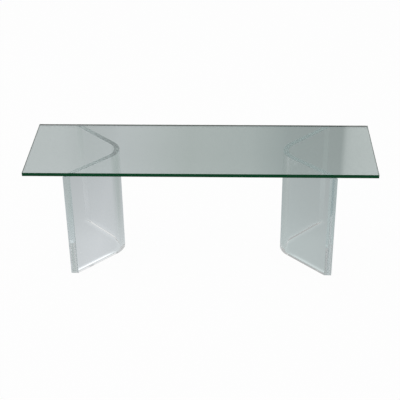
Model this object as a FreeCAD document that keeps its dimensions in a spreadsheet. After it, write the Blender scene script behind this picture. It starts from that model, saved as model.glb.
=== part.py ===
"""Low glass table: a slab of float glass that lies on two bent sheets of clear acrylic.

Millimetres. The origin is on the floor under the middle of the glass, +X runs along the table,
+Y from front to back and +Z up.
"""

import FreeCAD, Part
import Sketcher

import math
import os

SIZES = {
    # glass top: the slab and the small ground bevel round its edges
    "glass_length": 1220.0,
    "glass_depth": 368.0,
    "glass_thickness": 12.7,
    "glass_arris": 0.8,
    # pedestals: the sheet, its bend, and where the two stand under the glass
    "sheet_thickness": 19.0,
    "sheet_arris": 0.8,
    "pedestal_height": 403.5,
    "bend_angle": 90.0,
    "bend_inner_radius": 60.0,
    "wing_setback": 0.5,
    "end_overhang": 139.5,
    # bumpers: clear discs stuck on the top edge of the sheets
    "bumper_diameter": 12.0,
    "bumper_thickness": 2.0,
    "bumper_setback": 30.0,
}

# lengths worked out from those sizes, as formulas on the spreadsheet's cells
SHEET_OUTER_RADIUS = "(Sizes.bend_inner_radius + Sizes.sheet_thickness)"
SHEET_MIDDLE_RADIUS = "(Sizes.bend_inner_radius + Sizes.sheet_thickness / 2)"
HALF_DEPTH = "(Sizes.glass_depth / 2 - Sizes.wing_setback)"
HALF_ANGLE = "(Sizes.bend_angle / 2)"
GLASS_UNDERSIDE = "(Sizes.pedestal_height + Sizes.bumper_thickness)"


def wing_end(radius):
    """Formula for how far past the centre of the bend a wing ends, on the layer bent to that radius."""
    return f"({HALF_DEPTH} / tan({HALF_ANGLE}) - {radius} / sin({HALF_ANGLE}))"


# from the middle of the table to the centre of either bend
BEND_CENTRE = f"(Sizes.glass_length / 2 - Sizes.end_overhang - {wing_end('Sizes.bend_inner_radius')})"

SIDES = {"left": -1, "right": 1}

doc = FreeCAD.newDocument("coffee_table")


def add_sizes():
    """Spreadsheet with one row for each driving size: its name and its value."""
    sheet = doc.addObject("Spreadsheet::Sheet", "Sizes")
    for row, (name, value) in enumerate(SIZES.items(), start=1):
        sheet.set(f"A{row}", name)
        sheet.set(f"B{row}", str(value))
        sheet.setAlias(f"B{row}", name)
    doc.recompute()
    return sheet


def bind(item, **formulas):
    """Tie properties of an object to the sizes. Two underscores in a name stand for a dot."""
    for path, formula in formulas.items():
        item.setExpression(path.replace("__", "."), formula)


def add_body(name):
    body = doc.addObject("PartDesign::Body", name)
    body.Label = name
    return body


def add_plan_sketch(body, name):
    """Empty sketch on the body's own horizontal plane."""
    sketch = body.newObject("Sketcher::SketchObject", name)
    plane = next(item for item in body.Origin.OriginFeatures if item.Role == "XY_Plane")
    sketch.AttachmentSupport = (plane, [""])
    sketch.MapMode = "FlatFace"
    return sketch


def add_dimension(sketch, name, formula, *constraint):
    """Named dimension in a sketch, driven by a formula on the sizes."""
    index = sketch.addConstraint(Sketcher.Constraint(*constraint))
    sketch.renameConstraint(index, name)
    sketch.setExpression(f"Constraints.{name}", formula)


def add_pad(body, sketch, length):
    pad = body.newObject("PartDesign::Pad", f"{sketch.Name}_pad")
    pad.Profile = sketch
    bind(pad, Length=length)
    doc.recompute()
    return pad


def add_arris(body, pad, keep_edge, size):
    """Small bevel along the edges of a pad that keep_edge picks."""
    names = [f"Edge{i}" for i, edge in enumerate(pad.Shape.Edges, start=1) if keep_edge(edge)]
    arris = body.newObject("PartDesign::Chamfer", f"{pad.Name}_arris")
    arris.Base = (pad, names)
    bind(arris, Size=size)
    body.Tip = arris


def add_glass_top():
    """Slab of float glass, every edge ground to a small arris."""
    body = add_body("glass_top")
    sketch = add_plan_sketch(body, "glass_outline")
    half_length = SIZES["glass_length"] / 2
    half_depth = SIZES["glass_depth"] / 2
    signs = ((-1, -1), (1, -1), (1, 1), (-1, 1))
    corners = [FreeCAD.Vector(x * half_length, y * half_depth, 0) for x, y in signs]
    front, right, back, left = sketch.addGeometry(
        [Part.LineSegment(start, end) for start, end in zip(corners, corners[1:] + corners[:1])]
    )
    for line, following in ((front, right), (right, back), (back, left), (left, front)):
        sketch.addConstraint(Sketcher.Constraint("Coincident", line, 2, following, 1))
    for line in (front, back):
        sketch.addConstraint(Sketcher.Constraint("Horizontal", line))
    for line in (right, left):
        sketch.addConstraint(Sketcher.Constraint("Vertical", line))
    sketch.addConstraint(Sketcher.Constraint("Symmetric", front, 1, back, 1, -1, 1))
    add_dimension(
        sketch, "length", "Sizes.glass_length", "DistanceX", front, 1, front, 2, SIZES["glass_length"]
    )
    add_dimension(sketch, "depth", "Sizes.glass_depth", "DistanceY", right, 1, right, 2, SIZES["glass_depth"])
    pad = add_pad(body, sketch, "Sizes.glass_thickness")
    add_arris(body, pad, lambda edge: True, "Sizes.glass_arris")
    bind(body, Placement__Base__z=GLASS_UNDERSIDE)
    return body


def draw_bent_sheet(sketch):
    """Plan of the sheet about the centre of its bend: two wings that open towards +X.

    The wings' ends are cut along X, so that they line up with the long edges of the glass.
    """
    inner = SIZES["bend_inner_radius"]
    outer = inner + SIZES["sheet_thickness"]
    half_depth = SIZES["glass_depth"] / 2 - SIZES["wing_setback"]
    half_angle = math.radians(SIZES["bend_angle"] / 2)

    def tangent_point(radius, side):
        return FreeCAD.Vector(-radius * math.sin(half_angle), side * radius * math.cos(half_angle), 0)

    def end_point(radius, side):
        reach = half_depth / math.tan(half_angle) - radius / math.sin(half_angle)
        return FreeCAD.Vector(reach, side * half_depth, 0)

    def bend(radius):
        circle = Part.Circle(FreeCAD.Vector(), FreeCAD.Vector(0, 0, 1), radius)
        return Part.ArcOfCircle(circle, math.pi / 2 + half_angle, 3 * math.pi / 2 - half_angle)

    front, rear = -1, 1
    front_end, inner_front, inner_bend, inner_rear = sketch.addGeometry([
        Part.LineSegment(end_point(outer, front), end_point(inner, front)),
        Part.LineSegment(end_point(inner, front), tangent_point(inner, front)),
        bend(inner),
        Part.LineSegment(tangent_point(inner, rear), end_point(inner, rear)),
    ])
    rear_end, outer_rear, outer_bend, outer_front = sketch.addGeometry([
        Part.LineSegment(end_point(inner, rear), end_point(outer, rear)),
        Part.LineSegment(end_point(outer, rear), tangent_point(outer, rear)),
        bend(outer),
        Part.LineSegment(tangent_point(outer, front), end_point(outer, front)),
    ])
    relations = [
        ("Coincident", front_end, 2, inner_front, 1),
        ("Coincident", inner_rear, 2, rear_end, 1),
        ("Coincident", rear_end, 2, outer_rear, 1),
        ("Coincident", outer_front, 2, front_end, 1),
        ("Tangent", inner_front, 2, inner_bend, 2),
        ("Tangent", inner_rear, 1, inner_bend, 1),
        ("Tangent", outer_rear, 2, outer_bend, 1),
        ("Tangent", outer_front, 1, outer_bend, 2),
        ("Coincident", inner_bend, 3, -1, 1),
        ("Coincident", outer_bend, 3, -1, 1),
        ("Horizontal", front_end),
        ("Horizontal", rear_end),
        ("Symmetric", outer_front, 2, outer_rear, 1, -1),
        ("Parallel", inner_front, outer_front),
        ("Parallel", inner_rear, outer_rear),
    ]
    for relation in relations:
        sketch.addConstraint(Sketcher.Constraint(*relation))
    add_dimension(sketch, "inner_radius", "Sizes.bend_inner_radius", "Radius", inner_bend, inner)
    add_dimension(sketch, "outer_radius", SHEET_OUTER_RADIUS, "Radius", outer_bend, outer)
    add_dimension(sketch, "wing_angle", f"{HALF_ANGLE} * 1deg", "Angle", inner_rear, half_angle)
    add_dimension(
        sketch, "depth", f"2 * {HALF_DEPTH}", "DistanceY", outer_front, 2, outer_rear, 1, 2 * half_depth
    )


def add_pedestal(side_name):
    """Acrylic sheet bent to an upright V, its bend towards the middle of the table."""
    body = add_body(f"{side_name}_pedestal")
    sketch = add_plan_sketch(body, f"{side_name}_sheet_plan")
    draw_bent_sheet(sketch)
    pad = add_pad(body, sketch, "Sizes.pedestal_height")
    wing_ends = (pad.Shape.BoundBox.YMin, pad.Shape.BoundBox.YMax)

    def is_cut_edge(edge):
        """True on the sheet's cut edges, false on the seams where a wing runs into the bend."""
        box = edge.BoundBox
        upright = math.isclose(box.ZLength, pad.Shape.BoundBox.ZLength)
        at_wing_end = any(math.isclose(box.Center.y, end) for end in wing_ends)
        return at_wing_end or not upright

    add_arris(body, pad, is_cut_edge, "Sizes.sheet_arris")
    side = SIDES[side_name]
    if side < 0:
        body.Placement.Rotation = FreeCAD.Rotation(FreeCAD.Vector(0, 0, 1), 180)
    bind(body, Placement__Base__x=f"{side} * {BEND_CENTRE}")
    return body


def add_bumpers(side_name):
    """Three clear discs along the middle of a pedestal's top edge: one on each wing, one on the bend."""
    side = SIDES[side_name]
    wing_x = f"({wing_end(SHEET_MIDDLE_RADIUS)} - Sizes.bumper_setback * cos({HALF_ANGLE}))"
    wing_y = f"({HALF_DEPTH} - Sizes.bumper_setback * sin({HALF_ANGLE}))"
    places = {
        "front": (wing_x, f"-{wing_y}"),
        "bend": (f"-{SHEET_MIDDLE_RADIUS}", "0"),
        "rear": (wing_x, wing_y),
    }
    bumpers = []
    for place, (along, across) in places.items():
        bumper = doc.addObject("Part::Cylinder", f"{side_name}_{place}_bumper")
        bumper.Label = bumper.Name
        bind(
            bumper,
            Radius="Sizes.bumper_diameter / 2",
            Height="Sizes.bumper_thickness",
            Placement__Base__x=f"{side} * ({BEND_CENTRE} + {along})",
            Placement__Base__y=across,
            Placement__Base__z="Sizes.pedestal_height",
        )
        bumpers.append(bumper)
    return bumpers


add_sizes()
sub_parts = [add_glass_top()]
for side_name in SIDES:
    sub_parts.append(add_pedestal(side_name))
    sub_parts.extend(add_bumpers(side_name))
doc.recompute()

for item in doc.Objects:
    if {"Invalid", "Error"} & set(item.State):
        raise RuntimeError(f"{item.Name} did not recompute: {item.State}")
for sub_part in sub_parts:
    if sub_part.Shape.isNull() or not sub_part.Shape.isValid():
        raise RuntimeError(f"{sub_part.Label} has no valid shape")

os.makedirs("parts", exist_ok=True)
for sub_part in sub_parts:
    sub_part.Shape.exportStep(os.path.join("parts", f"{sub_part.Label}.step"))
    box = sub_part.Shape.BoundBox
    print(
        f"{sub_part.Label}: {sub_part.Shape.Volume:.0f} mm3,"
        f" x {box.XMin:.2f} to {box.XMax:.2f}, y {box.YMin:.2f} to {box.YMax:.2f},"
        f" z {box.ZMin:.2f} to {box.ZMax:.2f}"
    )
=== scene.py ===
"""Looks of a low table: a slab of float glass lying on two bent sheets of clear acrylic.

Metres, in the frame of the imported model: +X along the table, +Y from front to back, +Z up.
"""

import math

import bpy
from mathutils import Matrix, Vector


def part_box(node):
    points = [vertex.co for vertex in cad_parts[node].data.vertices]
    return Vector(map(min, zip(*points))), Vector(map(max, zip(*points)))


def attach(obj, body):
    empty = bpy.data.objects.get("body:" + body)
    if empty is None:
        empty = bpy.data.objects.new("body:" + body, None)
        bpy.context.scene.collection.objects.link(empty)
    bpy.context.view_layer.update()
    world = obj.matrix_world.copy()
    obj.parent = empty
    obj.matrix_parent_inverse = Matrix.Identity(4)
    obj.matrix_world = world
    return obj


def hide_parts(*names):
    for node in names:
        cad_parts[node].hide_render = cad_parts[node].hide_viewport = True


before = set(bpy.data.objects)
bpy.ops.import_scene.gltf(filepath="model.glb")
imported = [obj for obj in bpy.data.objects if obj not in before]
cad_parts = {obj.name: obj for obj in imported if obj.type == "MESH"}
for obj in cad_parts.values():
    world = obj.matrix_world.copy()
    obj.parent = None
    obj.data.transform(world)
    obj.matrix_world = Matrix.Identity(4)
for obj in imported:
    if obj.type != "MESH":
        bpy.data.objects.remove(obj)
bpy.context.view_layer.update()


# Pedestals
# Each is one thick sheet of cast acrylic, bent hot round a former into an upright V.
# Its faces keep the cast polish, its edges were sawn, sanded and buffed. It stands loose on the floor.

MM = 0.001
SHEET_THICKNESS = 19 * MM
BEND_INNER_RADIUS = 60 * MM
BEND_OUTER_RADIUS = BEND_INNER_RADIUS + SHEET_THICKNESS
BEND_HALF_ANGLE = math.radians(45)
SHEET_ARRIS = 0.8 * MM
BEND_STEPS = 48
WING_STEPS = 6
ARRIS_STEPS = 4
# the last ring of an end stops just short of a quarter turn, so that the flat end face keeps its width
END_TURN = math.radians(88)
# the most that large faces can count against small ones, so that flat faces shade flat
FLAT_FACE_WEIGHT = 100


def sheet_ring(near, far, low, high, arris, inset):
    """Closed upright section of a sheet between two plan points, with its corners rounded off."""
    width = (far - near).length
    across = (far - near) / width
    radius = arris - inset
    corners = [
        (width - arris, low + arris, -90),
        (width - arris, high - arris, 0),
        (arris, high - arris, 90),
        (arris, low + arris, 180),
    ]
    ring = []
    for reach, height, start in corners:
        for step in range(ARRIS_STEPS + 1):
            angle = math.radians(start + 90 * step / ARRIS_STEPS)
            place = near + across * (reach + radius * math.cos(angle))
            ring.append((place.x, place.y, height + radius * math.sin(angle)))
    return ring


def ring_mesh(name, rings):
    """Closed skin over rings of as many points each, smooth where it turns and flat elsewhere."""
    count = len(rings[0])
    points = [point for ring in rings for point in ring]
    faces = [tuple(range(count)), tuple(reversed(range(len(points) - count, len(points))))]
    for first in range(0, len(points) - count, count):
        for k in range(count):
            after = (k + 1) % count
            faces.append((first + after, first + k, first + count + k, first + count + after))
    mesh = bpy.data.meshes.new(name)
    mesh.from_pydata(points, [], faces)
    mesh.validate()
    mesh.shade_smooth()
    piece = bpy.data.objects.new(name, mesh)
    bpy.context.scene.collection.objects.link(piece)
    piece.modifiers.new("flat_faces", "WEIGHTED_NORMAL").weight = FLAT_FACE_WEIGHT
    return piece


def sheet_mesh(name, stations, low, high, arris):
    """Sheet swept through pairs of plan points, one on each face, with its cut edges rounded off."""
    rings = []
    last = len(stations) - 1
    for end, inward in ((0, 1), (last, last - 1)):
        near, far = stations[end]
        along = (near + far - stations[inward][0] - stations[inward][1]) / 2
        across = (far - near).normalized()
        outward = (along - across * along.dot(across)).normalized()
        rounding = []
        for step in range(ARRIS_STEPS + 1):
            angle = END_TURN * step / ARRIS_STEPS
            shift = outward * arris * (math.sin(angle) - 1)
            inset = arris * (1 - math.cos(angle))
            rounding.append(sheet_ring(near + shift, far + shift, low, high, arris, inset))
        if end == 0:
            rings += reversed(rounding)
            rings += [sheet_ring(near, far, low, high, arris, 0) for near, far in stations[1:last]]
        else:
            rings += rounding
    return ring_mesh(name, rings)


def pedestal_stations(node, side):
    """Plan of the bent sheet from one end round the bend to the other, as pairs of points."""
    low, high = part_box(node)
    half_depth = high.y
    bend_apex = min(abs(low.x), abs(high.x))
    bend_centre = bend_apex + BEND_OUTER_RADIUS

    def face_points(radius):
        end_reach = half_depth / math.tan(BEND_HALF_ANGLE) - radius / math.sin(BEND_HALF_ANGLE)
        wing_end = Vector((end_reach, half_depth))
        tangent = Vector((-radius * math.sin(BEND_HALF_ANGLE), radius * math.cos(BEND_HALF_ANGLE)))
        wing = [tangent.lerp(wing_end, step / WING_STEPS) for step in range(WING_STEPS, 0, -1)]
        first_turn = math.pi / 2 + BEND_HALF_ANGLE
        bend_sweep = math.pi - 2 * BEND_HALF_ANGLE
        turns = [first_turn + bend_sweep * step / BEND_STEPS for step in range(BEND_STEPS + 1)]
        bend = [Vector((radius * math.cos(turn), radius * math.sin(turn))) for turn in turns]
        plan = wing + bend + [Vector((p.x, -p.y)) for p in reversed(wing)]
        return [Vector((side * (bend_centre + p.x), p.y)) for p in plan]

    # the mirrored sheet is run the other way round, so that its faces still look outwards
    pairs = list(zip(face_points(BEND_INNER_RADIUS), face_points(BEND_OUTER_RADIUS)))
    return pairs if side > 0 else list(reversed(pairs))


def linear(hex_code):
    """Linear red, green, blue and alpha of an sRGB hex colour."""
    channels = [int(hex_code[i:i + 2], 16) / 255 for i in (1, 3, 5)]
    return (*[c / 12.92 if c <= 0.04045 else ((c + 0.055) / 1.055) ** 2.4 for c in channels], 1)


def add_node(tree, kind, values=None, links=None, stops=(), **settings):
    """Node of a tree with its settings, input values, the sockets that feed it and its colour stops.

    Sockets go by name, or by number where names repeat: Mix takes numbers at 2, 3 and colours at 6, 7.
    """
    node = tree.nodes.new("ShaderNode" + kind)
    for setting, value in settings.items():
        setattr(node, setting, value)
    for socket, value in (values or {}).items():
        node.inputs[socket].default_value = value
    for socket, source in (links or {}).items():
        tree.links.new(source, node.inputs[socket])
    for position, colour in stops[2:]:
        node.color_ramp.elements.new(position)
    for k, (position, colour) in enumerate(stops):
        node.color_ramp.elements[k].position = position
        node.color_ramp.elements[k].color = colour
    return node


# the absorption is a density times what the colour lacks of white, so the density is more than that
DENSITY_ABOVE = 1.5


def clear_material(name, ior, depth, colour_at_depth):
    """See-through solid that passes colour_at_depth of white light through that depth."""
    material = bpy.data.materials.new(name)
    material.use_nodes = True
    tree = material.node_tree
    shader = tree.nodes["Principled BSDF"]
    shader.inputs["Base Color"].default_value = linear("#FFFFFF")
    shader.inputs["Transmission Weight"].default_value = 1
    shader.inputs["IOR"].default_value = ior
    takes = [-math.log(share) / depth for share in linear(colour_at_depth)[:3]]
    density = DENSITY_ABOVE * max(takes)
    passes = (*[1 - take / density for take in takes], 1)
    inside = add_node(tree, "VolumeAbsorption", {"Color": passes, "Density": density})
    tree.links.new(inside.outputs["Volume"], tree.nodes["Material Output"].inputs["Volume"])
    return material, tree, shader


# cast acrylic: as clear as water across the sheet, faintly cool and grey along its length; its faces
# keep a faint ripple from the hot bending and its ends the ticks of the saw, so that they sparkle
ACRYLIC_IOR = 1.49
ACRYLIC_DEPTH = 450 * MM
acrylic, tree, shader = clear_material("cast_acrylic", ACRYLIC_IOR, ACRYLIC_DEPTH, "#EDF4F5")
where = add_node(tree, "TexCoord")
facing = add_node(tree, "SeparateXYZ", links={0: where.outputs["Normal"]})
steep_z = add_node(tree, "Math", links={0: facing.outputs["Z"]}, operation="ABSOLUTE")
steep_y = add_node(tree, "Math", links={0: facing.outputs["Y"]}, operation="ABSOLUTE")
# how far a face looks along Z or Y: the most that a cast face does, and the least that a flat cut edge does
FACE_Z = 0.2
FACE_Y = 0.74
EDGE_Z = 0.97
EDGE_Y = 0.99
EDGE_BLUR = 0.03
ARRIS_BLUR = 0.06
blurs = []
edges = []
for steep, face_limit, edge_limit in ((steep_z, FACE_Z, EDGE_Z), (steep_y, FACE_Y, EDGE_Y)):
    off_face = add_node(tree, "Math", {1: face_limit}, {0: steep.outputs[0]}, operation="GREATER_THAN")
    on_edge = add_node(tree, "Math", {1: edge_limit}, {0: steep.outputs[0]}, operation="GREATER_THAN")
    off_face_blur = add_node(tree, "Math", {1: ARRIS_BLUR}, {0: off_face.outputs[0]}, operation="MULTIPLY")
    blur = add_node(
        tree, "Math", {1: EDGE_BLUR - ARRIS_BLUR}, {0: on_edge.outputs[0], 2: off_face_blur.outputs[0]},
        operation="MULTIPLY_ADD",
    )
    blurs.append(blur.outputs[0])
    edges.append(on_edge.outputs[0])
blur = add_node(tree, "Math", links={0: blurs[0], 1: blurs[1]}, operation="MAXIMUM")
tree.links.new(blur.outputs[0], shader.inputs["Roughness"])
# the ticks of the saw are drawn further apart than they are, to show at all
SAW_PITCH = 6.5 * MM
SAW_DEPTH = 0.015 * MM
SAW_WANDER = 0.4
# a wave texture of scale 1 has this many radians to the metre
WAVE_RADIANS = 20
saw_scale = math.tau / (WAVE_RADIANS * SAW_PITCH)
saw = add_node(
    tree, "TexWave", {"Scale": saw_scale, "Distortion": SAW_WANDER, "Detail": 1.0},
    {"Vector": where.outputs["Object"]}, bands_direction="Z",
)
ticks = add_node(tree, "Math", {1: SAW_DEPTH}, {0: saw.outputs["Fac"]}, operation="MULTIPLY")
end_ticks = add_node(tree, "Math", links={0: ticks.outputs[0], 1: edges[1]}, operation="MULTIPLY")
# the ripple is drawn a little deeper than it is, to show at all
RIPPLES_PER_METRE = (1 / (200 * MM), 1 / (200 * MM), 1 / (300 * MM))
RIPPLE_DEPTH = 0.04 * MM
rippled = add_node(
    tree, "VectorMath", {1: RIPPLES_PER_METRE}, {0: where.outputs["Object"]}, operation="MULTIPLY"
)
ripple = add_node(tree, "TexNoise", {"Scale": 1.0, "Detail": 1.0}, {"Vector": rippled.outputs[0]})
relief = add_node(
    tree, "Math", {1: RIPPLE_DEPTH}, {0: ripple.outputs["Fac"], 2: end_ticks.outputs[0]},
    operation="MULTIPLY_ADD",
)
bump = add_node(tree, "Bump", {"Strength": 1.0, "Distance": 1.0}, {"Height": relief.outputs[0]})
tree.links.new(bump.outputs[0], shader.inputs["Normal"])

for side_name, side in (("left", -1), ("right", 1)):
    node = f"{side_name}_pedestal"
    low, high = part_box(node)
    sheet = sheet_mesh(f"{side_name}_bent_sheet", pedestal_stations(node, side), low.z, high.z, SHEET_ARRIS)
    sheet.data.materials.append(acrylic)
    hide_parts(node)
    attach(sheet, f"{side_name}_support")


# Bumpers
# Clear soft vinyl discs, moulded with a rounded rim and stuck to the top edge of the sheets.
# The glass lies on them.

BUMPER_RIM = 0.6 * MM
BUMPER_STEPS = 40
RIM_STEPS = 5
# films of air, so that no two clear solids share a face
AIR_FILM = 0.03 * MM


def bumper_mesh(name, node):
    """Low round disc with its rim rounded off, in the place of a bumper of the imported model."""
    low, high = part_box(node)
    centre = (low + high) / 2
    radius = (high.x - low.x) / 2
    rings = []
    for level, start in ((low.z + AIR_FILM + BUMPER_RIM, -90), (high.z - AIR_FILM - BUMPER_RIM, 0)):
        for step in range(RIM_STEPS + 1):
            angle = math.radians(start + 90 * step / RIM_STEPS)
            reach = radius - BUMPER_RIM + BUMPER_RIM * math.cos(angle)
            height = level + BUMPER_RIM * math.sin(angle)
            turns = [math.tau * k / BUMPER_STEPS for k in range(BUMPER_STEPS)]
            rings.append([
                (centre.x + reach * math.cos(turn), centre.y - reach * math.sin(turn), height)
                for turn in turns
            ])
    return ring_mesh(name, rings)


# clear vinyl: nearly invisible, with the faint cloudiness of a soft moulding
VINYL_IOR = 1.5
VINYL_DEPTH = 10 * MM
VINYL_CLOUD = 3 * MM
CLEAREST_BLUR = 0.02
CLOUDIEST_BLUR = 0.09
vinyl, tree, shader = clear_material("clear_vinyl", VINYL_IOR, VINYL_DEPTH, "#FAFCFB")
where = add_node(tree, "TexCoord")
cloud = add_node(
    tree, "TexNoise", {"Scale": 1 / VINYL_CLOUD, "Detail": 2.0}, {"Vector": where.outputs["Object"]}
)
blur = add_node(
    tree, "MapRange", {"To Min": CLEAREST_BLUR, "To Max": CLOUDIEST_BLUR}, {"Value": cloud.outputs["Fac"]}
)
tree.links.new(blur.outputs["Result"], shader.inputs["Roughness"])
for side_name in ("left", "right"):
    for place in ("front", "bend", "rear"):
        node = f"{side_name}_{place}_bumper"
        disc = bumper_mesh(f"{side_name}_{place}_disc", node)
        disc.data.materials.append(vinyl)
        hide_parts(node)
        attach(disc, f"{side_name}_support")


# Glass top
# Slab of clear float glass, cut to size, its edges ground flat with a small arris.
# It lies loose on the bumpers.

GLASS_ARRIS = 0.8 * MM
GLASS_STRETCHES = 12
# float glass: nearly colourless through the slab, deep green along it; its ground edges are dull and dark,
# streaked along their length by the wheel, and its faces keep faint smears from wiping
GLASS_IOR = 1.52
GLASS_DEPTH = 100 * MM
float_glass, tree, shader = clear_material("float_glass", GLASS_IOR, GLASS_DEPTH, "#A7C3B7")
where = add_node(tree, "TexCoord")
facing = add_node(tree, "SeparateXYZ", links={0: where.outputs["Normal"]})
steep_z = add_node(tree, "Math", links={0: facing.outputs["Z"]}, operation="ABSOLUTE")
# how far a face looks along Z: the least that the two large faces do
GLASS_FACE_Z = 0.996
on_edge = add_node(tree, "Math", {1: GLASS_FACE_Z}, {0: steep_z.outputs[0]}, operation="LESS_THAN")
# the marks of the wheel are drawn far wider than they are, to show at all
STREAKS_PER_METRE = (1 / (80 * MM), 1 / (80 * MM), 1 / (2 * MM))
ground = add_node(
    tree, "VectorMath", {1: STREAKS_PER_METRE}, {0: where.outputs["Object"]}, operation="MULTIPLY"
)
grind = add_node(tree, "TexNoise", {"Scale": 1.0, "Detail": 2.0}, {"Vector": ground.outputs[0]})
green = add_node(
    tree, "Mix", {6: linear("#093E22"), 7: linear("#155A38")}, {0: grind.outputs["Fac"]}, data_type="RGBA"
)
tint = add_node(
    tree, "Mix", {6: linear("#FFFFFF")}, {0: on_edge.outputs[0], 7: green.outputs[2]}, data_type="RGBA"
)
tree.links.new(tint.outputs[2], shader.inputs["Base Color"])
EDGE_CLEAR = 0.02
clear = add_node(tree, "MapRange", {"To Min": 1.0, "To Max": EDGE_CLEAR}, {"Value": on_edge.outputs[0]})
tree.links.new(clear.outputs["Result"], shader.inputs["Transmission Weight"])
FACE_GLOSS = 0.5
EDGE_GLOSS = 0.05
gloss = add_node(
    tree, "MapRange", {"To Min": FACE_GLOSS, "To Max": EDGE_GLOSS}, {"Value": on_edge.outputs[0]}
)
tree.links.new(gloss.outputs["Result"], shader.inputs["Specular IOR Level"])
# smears lie along the slab, over the parts of the noise above the first limit, and are full at the second
SMEARS_PER_METRE = (1 / (300 * MM), 1 / (70 * MM), 0)
SMEAR_LIMITS = {"From Min": 0.5, "From Max": 0.75}
SMEAR_BLUR = 0.03
GROUND_BLUR = 0.10
wiped = add_node(
    tree, "VectorMath", {1: SMEARS_PER_METRE}, {0: where.outputs["Object"]}, operation="MULTIPLY"
)
smear = add_node(tree, "TexNoise", {"Scale": 1.0, "Detail": 3.0}, {"Vector": wiped.outputs[0]})
haze = add_node(tree, "MapRange", {**SMEAR_LIMITS, "To Max": SMEAR_BLUR}, {"Value": smear.outputs["Fac"]})
blur = add_node(tree, "Mix", {3: GROUND_BLUR}, {0: on_edge.outputs[0], 2: haze.outputs["Result"]})
tree.links.new(blur.outputs[0], shader.inputs["Roughness"])
low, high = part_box("glass_top")
marks = [low.x + (high.x - low.x) * k / GLASS_STRETCHES for k in range(GLASS_STRETCHES + 1)]
plan = [(Vector((x, high.y)), Vector((x, low.y))) for x in marks]
slab = sheet_mesh("glass_slab", plan, low.z, high.z, GLASS_ARRIS)
slab.data.materials.append(float_glass)
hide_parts("glass_top")
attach(slab, "top")


# Floor
# Plain paper sweep. Seen straight on it is white; through the glass and the acrylic, and in their
# reflections, it shows as pale grey paper, with painted light that is lightest round the left pedestal
# and painted shade to the right and to the back.

FLOOR_SIZE = 40.0
# the sheets touch the floor only here and there, so that a film of air stays under them
FLOOR_DROP = 0.1 * MM
half = FLOOR_SIZE / 2
floor_plan = [(-half, -half), (half, -half), (half, half), (-half, half)]
mesh = bpy.data.meshes.new("floor")
mesh.from_pydata([(x, y, -FLOOR_DROP) for x, y in floor_plan], [], [(0, 1, 2, 3)])
floor = bpy.data.objects.new("floor", mesh)
bpy.context.scene.collection.objects.link(floor)


def level_stops(rows, half_range):
    """Grey colour stops of a ramp from -half_range to half_range, from rows of a place and a level."""
    return [((place + half_range) / (2 * half_range), (level, level, level, 1)) for place, level in rows]


# matt paper: it lights evenly and mirrors nothing
PAPER_ROUGHNESS = 0.9
paper = bpy.data.materials.new("sweep_paper")
paper.use_nodes = True
tree = paper.node_tree
shader = tree.nodes["Principled BSDF"]
shader.inputs["Base Color"].default_value = linear("#F3F3F3")
shader.inputs["Roughness"].default_value = PAPER_ROUGHNESS
ray = add_node(tree, "LightPath")
here = add_node(tree, "NewGeometry")
spots = add_node(tree, "SeparateXYZ", links={0: here.outputs["Position"]})
# painted light and shade on the paper: the grey from left to right, lightest round the left pedestal and
# darker to the right, and the share of it that there is from front to back, darker towards the back
GREY_REACH = 1.0
PAINTED_LIGHT_GREYS = [
    (-0.80, "#B6BBBD"), (-0.55, "#BBC0C2"), (-0.40, "#C5C9CC"), (-0.08, "#ACB4B3"), (0.34, "#ADB6B6"),
    (0.50, "#A8B0B0"), (0.80, "#A2AAAA"),
]
PAINTED_DEPTH_SHADES = [(-1.0, 1.05), (-0.35, 1.12), (0.04, 1.12), (0.15, 1.05), (0.25, 1.0), (0.70, 0.89)]
GREY_RANGE = {"From Min": -GREY_REACH, "From Max": GREY_REACH}
across = add_node(tree, "MapRange", GREY_RANGE, {"Value": spots.outputs["X"]})
grey = add_node(
    tree, "ValToRGB", links={0: across.outputs[0]},
    stops=[((x + GREY_REACH) / (2 * GREY_REACH), linear(code)) for x, code in PAINTED_LIGHT_GREYS],
)
depth = add_node(tree, "MapRange", GREY_RANGE, {"Value": spots.outputs["Y"]})
painted_depth_shade = add_node(
    tree, "ValToRGB", links={0: depth.outputs[0]}, stops=level_stops(PAINTED_DEPTH_SHADES, GREY_REACH)
)
# the paper's grey with its painted light from left to right and painted shade towards the back
painted_light_grey = add_node(
    tree, "VectorMath", links={0: grey.outputs["Color"], 1: painted_depth_shade.outputs["Color"]},
    operation="MULTIPLY",
)
# little light gets in under the sheets, least on the far left, but what they carry down glows on the paper
# beside their feet; both go by how open the sky is over the paper, from 0 to 1
FOOT_REACH = 20 * MM
SKY_SAMPLES = 8
UNDER_SKY = 0.20
BESIDE_SKY = 0.42
FOOT_GLOWS = [(BESIDE_SKY, 1.16), (1.0, 1.0)]
FOOT_SHADES = [(-0.42, 0.34), (-0.34, 0.60), (-0.30, 0.60), (0.30, 0.96)]
sky = add_node(tree, "AmbientOcclusion", {"Distance": FOOT_REACH}, samples=SKY_SAMPLES)
foot_glow = add_node(
    tree, "ValToRGB", links={0: sky.outputs["AO"]},
    stops=[(opened, (share, share, share, 1)) for opened, share in FOOT_GLOWS],
)
foot_shade = add_node(
    tree, "ValToRGB", links={0: across.outputs[0]}, stops=level_stops(FOOT_SHADES, GREY_REACH)
)
beside = add_node(
    tree, "MapRange", {"From Min": UNDER_SKY, "From Max": BESIDE_SKY}, {"Value": sky.outputs["AO"]}
)
foot_share = add_node(
    tree, "Mix", data_type="RGBA",
    links={0: beside.outputs[0], 6: foot_shade.outputs["Color"], 7: foot_glow.outputs["Color"]},
)
foot_lit = add_node(
    tree, "VectorMath", links={0: painted_light_grey.outputs[0], 1: foot_share.outputs[2]}, operation="MULTIPLY"
)
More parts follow.
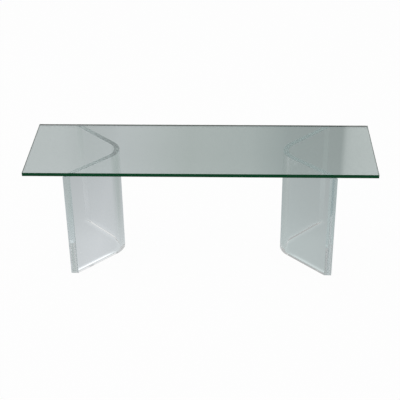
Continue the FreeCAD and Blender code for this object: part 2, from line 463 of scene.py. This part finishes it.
# the front wings gather light in a line on the paper, a little way off their feet and stronger on the left;
# the sky says how near the foot is, Y where the front wings are, and X how strong the line is
LINE_GAP = 6 * MM
CLEAR_OF_GAP = {"From Min": 0.96, "From Max": 1.0}
NEAR_FOOT = {"From Min": 0.93, "From Max": 0.72}
FRONT_HALF = {"From Min": -0.03, "From Max": -0.06}
LINE_STRENGTHS = {"From Min": -0.2, "From Max": 0.2, "To Min": 1.0, "To Max": 0.40}
gap_sky = add_node(tree, "AmbientOcclusion", {"Distance": LINE_GAP}, samples=SKY_SAMPLES)
off_foot = add_node(tree, "MapRange", CLEAR_OF_GAP, {"Value": gap_sky.outputs["AO"]})
near_foot = add_node(tree, "MapRange", NEAR_FOOT, {"Value": sky.outputs["AO"]})
in_front = add_node(tree, "MapRange", FRONT_HALF, {"Value": spots.outputs["Y"]})
strength = add_node(tree, "MapRange", LINE_STRENGTHS, {"Value": spots.outputs["X"]})
line = add_node(
    tree, "Math", links={0: off_foot.outputs[0], 1: near_foot.outputs[0]}, operation="MULTIPLY"
)
front_line = add_node(
    tree, "Math", links={0: line.outputs[0], 1: in_front.outputs[0]}, operation="MULTIPLY"
)
line_share = add_node(
    tree, "Math", {2: 1.0}, {0: front_line.outputs[0], 1: strength.outputs[0]}, operation="MULTIPLY_ADD"
)
lit = add_node(
    tree, "VectorMath", links={0: foot_lit.outputs[0], "Scale": line_share.outputs[0]}, operation="SCALE"
)
to_camera = ray.outputs["Is Camera Ray"]
tone = add_node(tree, "Mix", {7: linear("#FFFFFF")}, {0: to_camera, 6: lit.outputs[0]}, data_type="RGBA")
glow = add_node(tree, "Emission", links={"Color": tone.outputs[2]})
# the rest is the paper as the lamp lights it, with the shadow of the table
SHOWN_SHARE = 0.97
bent = add_node(
    tree, "Math", links={0: ray.outputs["Is Glossy Ray"], 1: ray.outputs["Is Transmission Ray"]},
    operation="MAXIMUM",
)
shown = add_node(tree, "Math", links={0: to_camera, 1: bent.outputs[0]}, operation="MAXIMUM")
shown_share = add_node(tree, "Math", {1: SHOWN_SHARE}, {0: shown.outputs[0]}, operation="MULTIPLY")
mixed = add_node(
    tree, "MixShader", links={0: shown_share.outputs[0], 1: shader.outputs[0], 2: glow.outputs[0]}
)
tree.links.new(mixed.outputs[0], tree.nodes["Material Output"].inputs["Surface"])
floor.data.materials.append(paper)


# Studio
# Soft light from all round, with a broad lamp overhead. The room behind the table is light low down, with
# a dark gap right of the middle that the glass mirrors. It is dimmer higher up, even in front of the table
# and darkest at the ceiling.


def rise_at(degrees):
    """Height of a direction of length 1 that rises by this angle."""
    return math.sin(math.radians(degrees))


world = bpy.data.worlds.new("studio")
bpy.context.scene.world = world
world.use_nodes = True
tree = world.node_tree
background = tree.nodes["Background"]
ray = add_node(tree, "LightPath")
look = add_node(tree, "TexCoord")
axes = add_node(tree, "SeparateXYZ", links={0: look.outputs["Generated"]})
turn = add_node(tree, "Math", links={0: axes.outputs["X"], 1: axes.outputs["Y"]}, operation="ARCTAN2")
# brightness of the room behind the table by degrees to the right of straight back, low down and higher up
ROOM_HALF = 40
LOW_ROOM = [
    (-40, 0.90), (-25, 0.95), (-12.5, 1.04), (-11, 0.98), (-9.5, 0.70), (-8, 0.62), (-6, 0.76), (-2, 0.80),
    (1, 0.68), (3.5, 0.27), (6.9, 0.32), (7.25, 1.15), (9, 1.38), (14, 1.40), (40, 0.60),
]
HIGH_ROOM = [
    (-40, 0.50), (-20, 0.45), (-13, 0.80), (-10, 0.80), (-9, 0.85), (-6.5, 0.80), (-5.5, 0.70), (-3, 0.50),
    (-2, 0.42), (4, 0.40), (8, 0.45), (14, 0.58), (40, 0.58),
]
room_edge = math.radians(ROOM_HALF)
spread = add_node(
    tree, "MapRange", {"From Min": -room_edge, "From Max": room_edge}, {"Value": turn.outputs[0]}
)
walls = []
for room in (LOW_ROOM, HIGH_ROOM):
    wall = add_node(tree, "ValToRGB", links={0: spread.outputs[0]}, stops=level_stops(room, ROOM_HALF))
    walls.append(wall.outputs["Color"])
HIGHER_UP = {"From Min": rise_at(29.8), "From Max": rise_at(31.0)}
higher_up = add_node(tree, "MapRange", HIGHER_UP, {"Value": axes.outputs["Z"]})
behind = add_node(tree, "Mix", links={0: higher_up.outputs[0], 6: walls[0], 7: walls[1]}, data_type="RGBA")
FRONT_GREY = linear("#E0E0E0")
AHEAD = {"From Min": 0.0, "From Max": -0.8}
ahead = add_node(tree, "MapRange", AHEAD, {"Value": axes.outputs["Y"]})
around = add_node(
    tree, "Mix", {7: FRONT_GREY}, {0: ahead.outputs[0], 6: behind.outputs[2]}, data_type="RGBA"
)
CEILING_GREY = linear("#5A5A5A")
OVERHEAD = {"From Min": rise_at(40), "From Max": rise_at(50)}
overhead = add_node(tree, "MapRange", OVERHEAD, {"Value": axes.outputs["Z"]})
whole = add_node(
    tree, "Mix", {7: CEILING_GREY}, {0: overhead.outputs[0], 6: around.outputs[2]}, data_type="RGBA"
)
to_camera = ray.outputs["Is Camera Ray"]
tone = add_node(tree, "Mix", {7: linear("#FFFFFF")}, {0: to_camera, 6: whole.outputs[2]}, data_type="RGBA")
tree.links.new(tone.outputs[2], background.inputs["Color"])

LAMP_LENGTH = 4.4
LAMP_WIDTH = 2.6
LAMP_WATTS = 30
LAMP_PLACE = (-0.8, 0.2, 2.8)
lamp = bpy.data.lights.new("overhead_lamp", "AREA")
lamp.shape = "RECTANGLE"
lamp.size = LAMP_LENGTH
lamp.size_y = LAMP_WIDTH
lamp.energy = LAMP_WATTS
lamp_object = bpy.data.objects.new("overhead_lamp", lamp)
lamp_object.location = LAMP_PLACE
lamp_object.visible_camera = False
bpy.context.scene.collection.objects.link(lamp_object)


# Camera
# At the photograph's viewing angle, fitted to the edges of the glass and of the pedestals.
# Its place is in metres, its lens in millimetres and its turn, tilt and roll in degrees.

CAMERA_PLACE = (0.116839, -3.152786, 2.122073)
CAMERA_TURN = 2.241245
CAMERA_DOWN = 31.311658
CAMERA_ROLL = -0.748559
LENS = 90.477431
camera = bpy.data.cameras.new("camera")
camera.lens = LENS
camera_object = bpy.data.objects.new("camera", camera)
camera_object.matrix_world = (
    Matrix.Translation(CAMERA_PLACE)
    @ Matrix.Rotation(math.radians(CAMERA_TURN), 4, "Z")
    @ Matrix.Rotation(math.radians(90 - CAMERA_DOWN), 4, "X")
    @ Matrix.Rotation(math.radians(CAMERA_ROLL), 4, "Z")
)
bpy.context.scene.collection.objects.link(camera_object)
bpy.context.scene.camera = camera_object
bpy.context.scene.view_settings.view_transform = "Standard"
# light runs the length of the sheets by dozens of reflections inside them
REFLECTIONS = 48
bpy.context.scene.cycles.max_bounces = REFLECTIONS
bpy.context.scene.cycles.glossy_bounces = REFLECTIONS
bpy.context.scene.cycles.transmission_bounces = REFLECTIONS
